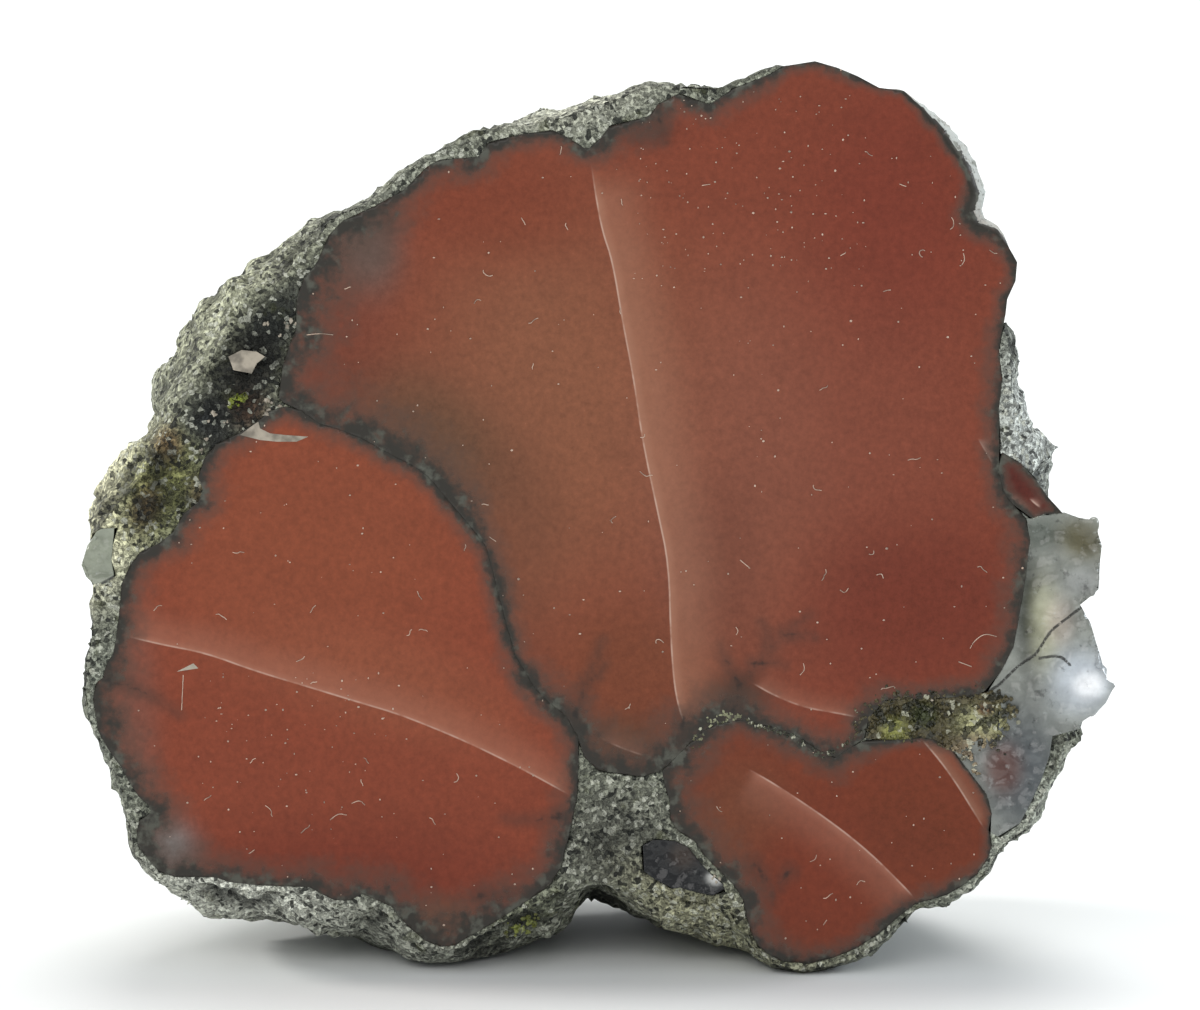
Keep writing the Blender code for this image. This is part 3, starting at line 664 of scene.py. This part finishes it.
def nodule_finish(name, cracks):
    """Polished datolite on the cut, and its satin skin everywhere else."""
    material, shader, place = begin_finish(name)
    fine = place.cloud(0.4, 4, 0.7)
    broad = place.cloud(2.6, 3)
    mottle = 0.45 + 0.8 * fine + 0.24 * broad + 0.16 * place.cloud(0.13, 1)
    colour = place.carried("patch_colour", "Color").shade(mottle)
    # Painted light: each fracture is painted brighter on its lit side, as light reflected off the fracture
    # plane inside the stone, with a painted highlight along the line itself.
    for number, crack in enumerate(cracks):
        away = place.carried(f"crack_{number}")
        lit = place.carried(f"lit_{number}") * away.rise(-0.04, 0.05)
        lit = lit * (0.75 + 0.5 * place.cloud(1.6))
        glow = tone(*crack["colour"])
        colour = colour.tint(lit * (1 - away.rise(0.0, crack["far"])) * 0.45, glow)
        colour = colour.tint(lit * (1 - away.rise(0.0, crack["near"])) * 0.55, glow)
        line = (1 - away.rise(0.02, 0.14)) * lit * place.cloud(1.4).rise(0.3, 0.6)
        colour = colour.tint(line * 0.6, tone(224, 196, 180))
    rim = place.carried("rim") + 1.5 * (place.cloud(1.3, 4) - 0.5) + 0.7 * (place.cloud(0.35, 2) - 0.5)
    soft = 1 - rim.rise(0.35, 1.7)
    deep = 1 - rim.rise(0.05, 0.75)
    colour = colour.tint(soft * 0.7, tone(86, 66, 56))
    colour = colour.tint(deep, tone(46, 43, 37))
    colour = colour.tint(deep * place.cloud(0.9, 4).rise(0.5, 0.66) * 0.6, tone(98, 100, 90))
    vein = place.carried("vein") + 0.7 * (place.cloud(0.7, 4) - 0.5)
    colour = colour.tint((1 - vein.rise(0.0, 1.1)) * 0.5, tone(64, 50, 42))
    colour = colour.tint((1 - vein.rise(0.0, 0.26)) * 0.75, tone(36, 32, 29))
    cut = place.carried("cut").rise(0.45, 0.55)
    skin = place.carried("patch_colour", "Color").tint(0.93, tone(186, 192, 188))
    skin = skin.tint(place.cloud(3.0, 6, 0.65).rise(0.44, 0.66) * 0.6, tone(148, 132, 118))
    skin = skin.tint(place.cloud(1.7, 6, 0.7).rise(0.54, 0.62) * 0.75, tone(98, 100, 88))
    skin = skin.tint(place.cloud(0.35, 2).rise(0.58, 0.66) * 0.6, tone(84, 82, 74))
    height = 0.12 * fine + (1 - cut) * (place.cloud(0.8, 4) + 0.5 * place.cells(0.6))
    feed(shader, {
        "Base Color": skin.tint(cut, colour),
        "Roughness": 0.2 + 0.1 * fine + 0.12 * deep + 0.25 * (1 - cut),
        "Normal": height.relief(0.05), "Specular IOR Level": 0.35,
    })
    return material


def nodule(name, proud, ground, patches, fringe, cracks, veins):
    """One nodule with its polished face, its skin, and everything that is seen in the face."""
    shape = merged_copy(name)
    close_gaps(shape, name)
    border = outline_of(shape)
    quarter(shape, dice(shape, flat_faces(shape), SQUARES))
    on_cut = {corner for face in flat_faces(shape) for corner in face.verts}
    refine(shape, [face for face in shape.faces if on_cut.isdisjoint(face.verts)], SKIN_COARSE)
    on_cut = {corner for face in flat_faces(shape) for corner in face.verts}
    soften(shape, [corner for corner in shape.verts if corner not in on_cut], rounds=2)
    for corner in on_cut:
        corner.co -= BEHIND * proud * MM
    places = face_places(shape.verts)
    shape.normal_update()
    swells = SKIN_SWELL * patch(places, SKIN_MIDDLE, SKIN_RADII)
    for corner, behind, swell in zip(shape.verts, places[:, 2], swells):
        if behind > 0.2:
            corner.co += corner.normal * swell * min(1.0, behind) * MM
    rim = np.full(len(places), np.inf)
    for start, end in border:
        rim = np.minimum(rim, to_line(places, (start, end))[0])
    rim = rim / fringe_width(places, fringe)
    vein = np.full(len(places), 9.0)
    for line in veins:
        away, _, along, length = to_line(places, rounded(line))
        vein = np.minimum(vein, away + 0.35 * along / length)
    piece = finished(shape, name + "_polished", nodule_finish(name, cracks), "datolite", name)
    # The patch colours are the datolite's own stains together with the slight changes in brightness that
    # the light makes across the face, painted in.
    carry(piece, "patch_colour", np.maximum(painted(places, ground, patches) - GLARE, DARKEST))
    carry(piece, "rim", rim)
    carry(piece, "vein", vein)
    carry(piece, "cut", (places[:, 2] < 0.0).astype(float))
    # Where each fracture's painted reflected light lies, and how strong it is.
    for number, crack in enumerate(cracks):
        away, side, along, length = to_line(places, rounded(crack["line"]))
        start, end = crack["ends"]
        lit = step(along, 0.0, start) * (1 - step(along, length - end, length)) * crack["strength"]
        carry(piece, f"crack_{number}", np.clip(away * side * crack["side"], -6, 6))
        carry(piece, f"lit_{number}", lit)


for name, looks in NODULES.items():
    nodule(name, **looks)
tree_of_polish = tree_of(*NODULES)


# The epidote seam
# A strip of yellow-green and dark green epidote grains between the upper and the lower right
# nodule, grown together with white quartz grains. Loose crumbs of it blur its borders.
HELD = 0.3                      # closer than this to its neighbours, a mineral keeps its surface
FADE = 0.8                      # and over this much its lumps grow to their full depth


def grainy(node, spacing, depth, size, rounds=2):
    """A mineral with a broken surface: lumps of a depth and a size, softened some rounds before."""
    shape = merged_copy(node)
    close_gaps(shape, node)
    quarter(shape, dice(shape, flat_faces(shape), spacing))
    cut = {corner for face in flat_faces(shape) for corner in face.verts}
    refine(shape, [face for face in shape.faces if not cut.issuperset(face.verts)], spacing)
    cut = {corner for face in flat_faces(shape) for corner in face.verts}
    neighbours = tree_of(*(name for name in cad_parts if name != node))
    room = {corner: neighbours.find_nearest(corner.co)[3] / MM for corner in shape.verts}
    around = [corner for corner in shape.verts if corner not in cut and room[corner] > HELD]
    soften(shape, around, rounds=rounds)
    shape.normal_update()
    for corner in shape.verts:
        spot = corner.co / MM
        lump = noise.voronoi(spot / size)[0][0] + 0.5 * noise.noise(spot / (0.4 * size))
        reach = depth * min(1.0, room[corner] / FADE) * MM
        if corner in cut:
            corner.co += BEHIND * reach * max(0.0, lump)
        else:
            deeper = min(1.0, 0.4 * max(0.0, behind_face(corner.co))) * max(0.0, lump)
            corner.co += corner.normal * reach * (0.8 - 2.0 * (lump + deeper))
    soften(shape, around, rounds=2)
    return shape


epidote_finish, epidote_shader, place = begin_finish("epidote")
grain = place.chance(0.24)
colour = place.carried("patch_colour", "Color").shade(0.35 + 0.9 * grain + 0.4 * place.cloud(0.5, 3))
colour = colour.tint(place.chance(0.32).rise(0.9, 0.94) * 0.7, tone(206, 206, 184))
colour = colour.tint((1 - place.chance(0.4).rise(0.2, 0.3)) * 0.8, tone(32, 34, 24))
bumps = place.cells(0.24) + 0.6 * place.cloud(0.2, 3)
feed(epidote_shader, {"Base Color": colour, "Roughness": 0.25 + 0.3 * grain, "Normal": bumps.relief(0.12)})
epidote = grainy("epidote_seam", spacing=0.3, depth=0.35, size=0.6)
epidote_places = face_places(epidote.verts)
epidote_piece = finished(epidote, "epidote_grains", epidote_finish, "epidote", "epidote_seam", smooth=50)
EPIDOTE_GROUND = (78, 71, 47)
EPIDOTE_PATCHES = (
    ((19.4, 15.4), (0.9, 0.8), 0, (58, 66, 34), 0.9),
    ((17.7, 14.5), (0.8, 0.8), 0, (150, 152, 84), 0.9),
    ((22.8, 14.9), (1.5, 1.0), 0, (184, 184, 138), 0.9),
    ((23.1, 15.7), (0.5, 0.4), 0, (110, 76, 54), 0.9),
    ((7.2, 15.0), (1.8, 1.2), 30, (150, 152, 122), 0.9),
    ((22.2, 12.8), (1.2, 1.6), -35, (168, 150, 124), 0.9),
    ((12, 14.0), (3.0, 1.4), -20, (74, 78, 66), 0.9),
    ((-4.6, 2.7), (1.4, 1.0), 0, (110, 118, 50), 0.9),
    ((-21.8, 34.2), (0.8, 0.8), 0, (120, 132, 40), 0.9),
)
carry(epidote_piece, "patch_colour", painted(epidote_places, EPIDOTE_GROUND, EPIDOTE_PATCHES))

CRUMB_TRAILS = (                # a drawn line, how far the grains stray from it, and their number
    (((15.2, 15.4), (17, 15.0), (18.6, 15.6), (20.2, 15.3), (22, 15.0), (24.6, 15.6)), 0.85, 210),
    (((5.6, 13.4), (6.2, 14.6), (7.3, 15.4), (8.6, 15.4)), 0.35, 46),
    (((8.8, 15.0), (11.4, 14.2), (13.4, 12.9), (15.4, 14.2)), 0.16, 60),
    (((20.6, 14.0), (21.9, 13.2), (22.7, 11.9)), 0.3, 46),
    (((16.2, 16.1), (18.5, 16.45), (21.0, 16.4), (23.8, 16.6)), 0.5, 120),
    (((23.9, 16.7), (24.3, 15.4), (23.8, 14.2)), 0.6, 90),
    (((15.6, 14.3), (17.6, 14.1), (19.6, 14.1)), 0.3, 40),
    (((20.6, 13.9), (22.0, 13.4), (23.8, 13.9)), 0.6, 80),
    (((-5.7, 2.2), (-3.8, 3.2)), 0.5, 40),
    (((-22.4, 34.0), (-21.2, 34.6)), 0.35, 26),
)
CRUMB_SIZES = (0.07, 0.19)
CRUMB_DEEP = 0.35               # how far behind the cut a grain's middle is, in its own radii
CRUMB_STRETCH = ((0.6, 1.4), (0.5, 1))


def splinter(shape, draw, middle, size, stretch, ragged):
    """One small grain with some radius, turned, stretched and made ragged at random."""
    turn = Euler([draw.uniform(0, 6.2) for _ in range(3)]).to_matrix().to_4x4()
    sides = [1.0] * (3 - len(stretch)) + [draw.uniform(*span) for span in stretch]
    made = bmesh.ops.create_icosphere(
        shape, subdivisions=1, radius=size * MM,
        matrix=Matrix.Translation(middle) @ turn @ Matrix.Diagonal((*sides, 1)),
    )
    for corner in made["verts"]:
        corner.co += Vector([draw.uniform(-ragged, ragged) for _ in range(3)]) * size * MM


crumb_draw = random.Random(3)
crumbs = bmesh.new()
for trail, stray, number in CRUMB_TRAILS:
    for _ in range(number):
        start, end = crumb_draw.choice(list(zip(trail[:-1], trail[1:])))
        share = crumb_draw.random()
        across = start[0] + share * (end[0] - start[0]) + crumb_draw.gauss(0, stray / 2)
        up = start[1] + share * (end[1] - start[1]) + crumb_draw.gauss(0, stray / 2)
        size = crumb_draw.uniform(*CRUMB_SIZES)
        middle = on_face(across, up, size * CRUMB_DEEP)
        splinter(crumbs, crumb_draw, middle, size, CRUMB_STRETCH, ragged=0.2)
crumb_places = face_places(crumbs.verts)
crumb_piece = finished(crumbs, "epidote_crumbs", epidote_finish, "epidote", smooth=20)
carry(crumb_piece, "patch_colour", painted(crumb_places, EPIDOTE_GROUND, EPIDOTE_PATCHES))


# The quartz
# Grey glassy quartz that filled what was left of the hollows: a mass at the right edge, a small
# patch at the left edge, and a dark pocket between the two feet.
def quartz(node, name, ground, patches, splits, spacing, depth, size, haze):
    """One quartz mass with its glassy, broken surface, its splits and its white haze."""
    material, shader, place = begin_finish(name)
    veil = place.cloud(1.6, 5, 0.6)
    colour = place.carried("patch_colour", "Color").shade(0.45 + 1.1 * veil)
    colour = colour.tint(place.cloud(0.6, 5).rise(0.6, 0.78) * haze, tone(206, 212, 210))
    colour = colour.shade(1 - 0.5 * place.cloud(0.9, 6, 0.65).rise(0.58, 0.68))
    split = place.carried("split") + 0.08 * (place.cloud(0.5, 3) - 0.5)
    colour = colour.tint((1 - split.rise(0.045, 0.12)) * 0.9, tone(38, 38, 34))
    bumps = place.cloud(0.8, 3) + 0.8 * split.rise(-0.05, 0.12)
    feed(shader, {
        "Base Color": colour, "Roughness": 0.08 + 0.25 * veil, "Normal": bumps.relief(0.12),
        "Coat Weight": haze, "Coat Roughness": 0.08, "Specular IOR Level": 0.4,
    })
    shape = grainy(node, spacing, depth, size, rounds=7)
    places = face_places(shape.verts)
    away = np.full(len(places), 9.0)
    for line in splits:
        away = np.minimum(away, to_line(places, rounded(line))[0])
    piece = finished(shape, name, material, "quartz", node, smooth=60)
    carry(piece, "patch_colour", painted(places, ground, patches))
    carry(piece, "split", away)


quartz(
    "quartz_right", "quartz_right_mass", (138, 141, 134), (
        ((25.8, 21.6), (0.9, 3.6), 0, (50, 53, 44), 1.0),
        ((26.6, 26.4), (1.5, 1.2), 0, (92, 98, 90), 0.9),
        ((28.9, 25.9), (1.5, 1.2), -30, (92, 86, 56), 0.9),
        ((29, 23.4), (1.2, 0.9), 0, (150, 152, 150), 0.8),
        ((26.7, 20.8), (0.9, 2.8), 0, (176, 176, 148), 0.8),
        ((27.6, 21), (0.9, 1.5), 0, (180, 166, 154), 0.6),
        ((25.4, 12.0), (2.6, 4.2), 0, (84, 89, 92), 1.0),
        ((24.2, 12.2), (1.1, 1.5), 0, (104, 58, 46), 0.75),
        # painted highlight: a near-white spot with a pale bluish halo, where a lamp's reflection lies on
        # the glassy mass
        ((28.9, 17.4), (2.0, 2.0), 0, (196, 204, 214), 0.8),
        ((29.3, 17.2), (0.9, 0.8), 0, (250, 252, 255), 1.0),
    ), (
        ((26.1, 19.0), (26.4, 19.4), (27.0, 20.4), (27.9, 21.1), (29.1, 22.0), (30.0, 22.8)),
        ((26.4, 18.8), (27.6, 19.0), (28.2, 18.4)),
        ((22.8, 16.5), (24.0, 17.2), (24.9, 18.2), (26.1, 19.0)),
    ), spacing=0.25, depth=0.4, size=1.8, haze=0.3,
)
quartz("quartz_left", "quartz_left_patch", (142, 147, 131), (), (
    ((-27.1, 25.6), (-28.3, 24.2), (-30.2, 23.1)),
), spacing=0.3, depth=0.3, size=1.2, haze=0.3)
quartz("quartz_pocket", "quartz_pocket_fill", (25, 26, 28), (
    ((6.9, 5.6), (0.5, 0.4), 0, (220, 220, 216), 0.9),
    ((5, 7), (0.8, 0.8), 0, (64, 52, 44), 0.7),
), (), spacing=0.3, depth=0.3, size=1.0, haze=0.05)


# The small crystals and the dust
# Quartz grains and chips in the crumbled rock at the upper left, sparks on the fractures, and the
# dust and short lint that lie on the polish. Each kind is one joined mesh.
CRYSTALS = (                    # place on the face, and size
    (-20.1, 38.8, 0.30), (-18.6, 38.8, 0.35), (-19.2, 38.2, 0.2), (-19.8, 34.4, 0.35),
    (-20.0, 33.6, 0.3), (-19.2, 34.0, 0.22), (-23.2, 33.4, 0.3), (-22.4, 33.0, 0.16),
    (-16.8, 32.8, 0.12), (-17.6, 33.2, 0.13), (-23.6, 31.9, 0.25), (-24.0, 31.2, 0.2),
    (19.2, 16.6, 0.22), (19.9, 16.4, 0.2), (6.9, 5.6, 0.3), (-24.7, 18.4, 0.16), (-1.3, 14.2, 0.14),
    (-7.1, 25.9, 0.12), (-2.0, 15.3, 0.12),
)
SHARDS = 4                      # splinters in each crystal
SHARD_DEEP = 0.05               # their middles, behind the cut
SHARD_STRETCH = ((0.6, 1.0), (0.6, 1.2), (0.5, 0.9))
CHIPS = (                       # thin pale chips: corners on the face
    ((-22.3, 36.9), (-21.5, 37.3), (-20.6, 37.2), (-20.1, 36.9), (-20.6, 36.5), (-20.9, 35.9),
     (-21.5, 36.0), (-22.0, 36.1), (-22.1, 36.4)),
    ((-21.6, 32.2), (-20.8, 32.8), (-20.5, 33.0), (-20.4, 32.6), (-19.8, 32.3), (-18.9, 32.2),
     (-17.5, 32.1), (-18.2, 31.8), (-19.4, 31.8), (-20.4, 31.9)),
    ((-25.4, 18.0), (-24.4, 18.5), (-24.1, 18.2)),
)
CHIP_PROUD, CHIP_DEEP = 0.03, 0.5       # how far a chip goes before and behind the cut
LINT = (                        # fibres on the polish
    ((22.2, 19.4), (22.5, 19.9), (23.1, 20.3), (23.8, 20.1)),
    ((21.5, 18.6), (22.3, 18.3)),
    ((8.4, 24.7), (9.0, 24.2)),
    ((12.0, 17.8), (12.3, 18.1), (12.2, 18.5)),
    ((14.4, 22.9), (14.7, 22.7), (14.9, 23.0)),
    ((16.6, 23.8), (16.9, 23.9), (17.0, 23.6)),
    ((12.6, 6.6), (12.9, 6.7), (13.0, 7.0)),
    ((15.4, 5.2), (15.6, 5.5), (15.9, 5.4)),
    ((13.4, 2.8), (13.6, 3.1)),
    ((-16.2, 9.1), (-15.7, 9.5), (-15.2, 9.4)),
    ((-14.9, 10.1), (-14.4, 10.3), (-14.1, 10.0)),
    ((-17.6, 38.2), (-16.8, 38.3), (-16.0, 38.2)),
    ((-25.0, 17.8), (-25.1, 15.7)),
    ((21.7, 42.4), (21.9, 42.7), (21.8, 43.1)),
)
LINT_WIDTH = 0.024              # half of a fibre's thickness
LINT_OFF = 0.03                 # its middle, in front of the cut
CURLS = 70                      # short curled fibres, strewn at random
CURLED_ACROSS, CURLED_UP = (-27, 25), (2, 52)
SPECKS = 760
SPECK_SIZES = (0.022, 0.065)
ON_POLISH = 0.02                # dust lies this far in front of the cut, which stands proud
SPECKLED = (((0.0, 27.0), (31.0, 28.0), 0.7), ((9.0, 47.0), (7.0, 6.0), 0.2), ((-18.0, 13.0), (6, 5), 0.1))


def pale_finish(name, colour, rough):
    """Plain pale mineral or dust with a little cloudiness."""
    material, shader, place = begin_finish(name)
    deep = tuple(0.45 * value for value in colour)
    mix = {0: place.cloud(0.8, 6).rise(0.42, 0.66), 6: colour, 7: deep}
    ground = place.node("ShaderNodeMix", {"data_type": "RGBA"}, mix, 2)
    feed(shader, {"Base Color": ground.shade(0.8 + 0.4 * place.cloud(0.2)), "Roughness": rough})
    return material


draw = random.Random(7)
crystals = bmesh.new()
shards = [
    (across + draw.gauss(0, 0.5 * size), up + draw.gauss(0, 0.5 * size), size * draw.uniform(0.3, 0.6))
    for across, up, size in CRYSTALS for _ in range(SHARDS)
]
for across, up, size in shards:
    splinter(crystals, draw, on_face(across, up, SHARD_DEEP), size, SHARD_STRETCH, ragged=0.25)
for corners in CHIPS:
    chip = crystals.faces.new([crystals.verts.new(on_face(across, up, 0.0)) for across, up in corners])
    chip.normal_update()
    if chip.normal.dot(BEHIND) > 0:
        chip.normal_flip()
    grown = bmesh.ops.extrude_face_region(crystals, geom=[chip])
    for corner in [part for part in grown["geom"] if isinstance(part, bmesh.types.BMVert)]:
        corner.co -= BEHIND * CHIP_PROUD * MM
    bmesh.ops.translate(crystals, verts=chip.verts, vec=BEHIND * CHIP_DEEP * MM)
bmesh.ops.recalc_face_normals(crystals, faces=crystals.faces)
grain_finish = pale_finish("quartz_grain", tone(176, 166, 150), 0.3)
finished(crystals, "quartz_grains", grain_finish, "quartz", smooth=20)


def over_polish(across, up):
    """Whether a place on the face is over one of the polished nodules."""
    spot = on_face(across, up, -ON_POLISH)
    return tree_of_polish.ray_cast(spot, BEHIND, 3 * ON_POLISH * MM)[0] is not None


dust = bmesh.new()
for _ in range(SPECKS):
    middle, radii, _ = draw.choices(SPECKLED, [share for _, _, share in SPECKLED])[0]
    across = middle[0] + draw.uniform(-1, 1) * radii[0]
    up = middle[1] + draw.uniform(-1, 1) * radii[1]
    if not over_polish(across, up):
        continue
    size = draw.uniform(*SPECK_SIZES) * MM
    squash = Matrix.Diagonal((draw.uniform(0.6, 1.6), 1, draw.uniform(0.6, 1.4), 1))
    sit = Matrix.Translation(on_face(across, up, -ON_POLISH))
    bmesh.ops.create_icosphere(dust, subdivisions=1, radius=size, matrix=sit @ squash)
curls = []
for _ in range(CURLS):
    heading = draw.uniform(0, 6.2)
    line = [(draw.uniform(*CURLED_ACROSS), draw.uniform(*CURLED_UP))]
    for _ in range(draw.randint(3, 5)):
        heading += draw.uniform(-1.0, 1.0)
        reach = draw.uniform(0.1, 0.2)
        line.append((line[-1][0] + reach * math.cos(heading), line[-1][1] + reach * math.sin(heading)))
    if all(over_polish(across, up) for across, up in line):
        curls.append(line)
for line in (*LINT, *curls):
    line = rounded(line)
    for start, end in zip(line[:-1], line[1:]):
        start, end = on_face(*start, -LINT_OFF), on_face(*end, -LINT_OFF)
        turn = (end - start).to_track_quat("Z", "Y").to_matrix().to_4x4()
        bmesh.ops.create_cone(
            dust, cap_ends=True, segments=5, radius1=LINT_WIDTH * MM, radius2=LINT_WIDTH * MM,
            depth=(end - start).length * 1.05, matrix=Matrix.Translation((start + end) / 2) @ turn,
        )
finished(dust, "dust_and_lint", pale_finish("dust", tone(216, 190, 170), 0.8), "quartz", smooth=60)


# The studio
# A white sheet under and behind the stone, soft light from all round, a lamp high behind the
# stone that lays its shadow forward, a warm one on the left and a cool one on the right.
STAND_OFF = 360.0               # millimetres from the face to the camera
VIEW_WIDTH = 72.0               # millimetres of the face that the picture is wide
SENSOR = 36.0
MIDDLE_UP = 28.0                # height on the face of the picture's middle
SHEET_REACH = 6.0               # metres from the stone to the edge of the sheet

camera = bpy.data.objects.new("camera", bpy.data.cameras.new("camera"))
camera.data.sensor_width = SENSOR
camera.data.lens = STAND_OFF * SENSOR / VIEW_WIDTH
camera.data.clip_start = 0.01
camera.location = on_face(0.0, MIDDLE_UP, -STAND_OFF)
camera.rotation_euler = Euler((math.pi / 2 - LEAN, 0, 0))
bpy.context.scene.collection.objects.link(camera)
bpy.context.scene.camera = camera
bpy.context.scene.view_settings.view_transform = "Standard"

sky = bpy.data.worlds.new("room")
sky.use_nodes = True
sky.node_tree.nodes["Background"].inputs["Color"].default_value = (0.95, 0.98, 1.0, 1)
sky.node_tree.nodes["Background"].inputs["Strength"].default_value = 0.55
bpy.context.scene.world = sky


def far_lamp(name, azimuth, height, strength, softness, colour):
    """Parallel light from a compass direction and a height, in degrees; 0 is from behind."""
    lamp = bpy.data.lights.new(name, "SUN")
    lamp.energy = strength
    lamp.angle = math.radians(softness)
    lamp.color = colour
    holder = bpy.data.objects.new(name, lamp)
    azimuth, height = math.radians(azimuth), math.radians(height)
    towards = Vector((math.sin(azimuth), math.cos(azimuth), 0)) * math.cos(height)
    towards.z = math.sin(height)
    holder.rotation_euler = towards.to_track_quat("Z", "Y").to_euler()
    bpy.context.scene.collection.objects.link(holder)


far_lamp("lamp_behind", 10, 62, 1.9, 35, (1.0, 0.99, 0.97))
far_lamp("lamp_left", -75, 28, 1.6, 12, (1.0, 0.98, 0.93))
far_lamp("lamp_right", 75, 20, 1.2, 18, (0.86, 0.93, 1.0))
far_lamp("lamp_front", -165, 40, 0.7, 40, (1.0, 0.98, 0.96))

sheet = bmesh.new()
bmesh.ops.create_grid(sheet, x_segments=1, y_segments=1, size=SHEET_REACH)
sheet_mesh = bpy.data.meshes.new("white_sheet")
sheet.to_mesh(sheet_mesh)
sheet.free()
paper = bpy.data.materials.new("white_paper")
paper.use_nodes = True
feed(paper.node_tree.nodes["Principled BSDF"], {
    "Base Color": (*tone(233, 235, 235), 1), "Roughness": 0.6, "Specular IOR Level": 0.2,
})
sheet_mesh.materials.append(paper)
floor = bpy.data.objects.new("white_sheet", sheet_mesh)
bpy.context.scene.collection.objects.link(floor)
